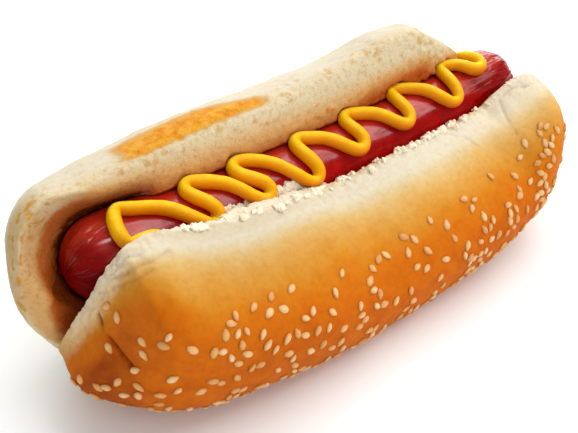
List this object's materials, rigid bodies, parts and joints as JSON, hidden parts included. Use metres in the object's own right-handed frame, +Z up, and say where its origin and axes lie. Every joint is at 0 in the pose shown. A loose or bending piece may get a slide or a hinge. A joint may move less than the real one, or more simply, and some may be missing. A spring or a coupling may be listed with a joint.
{
  "type": "hot dog",
  "caption": "Hot dog: a frankfurter in a split seeded roll, with a zigzag line of mustard along the top.",
  "frame": {"origin": "centre of the overall box, on the table the roll rests on", "axes": "+X along the roll, -Y towards the seeded half, +Z up"},
  "size_m": [0.1712, 0.0663, 0.0641],
  "materials": {
    "bun": "soft baked crust, pale at the rim and golden brown on the dome",
    "sausage": "smooth moist casing, dark red",
    "mustard": "smooth moist yellow paste"
  },
  "bodies": {
    "root": {"bun": "bun", "sausage": "sausage", "mustard": "mustard"}
  },
  "joints": []
}
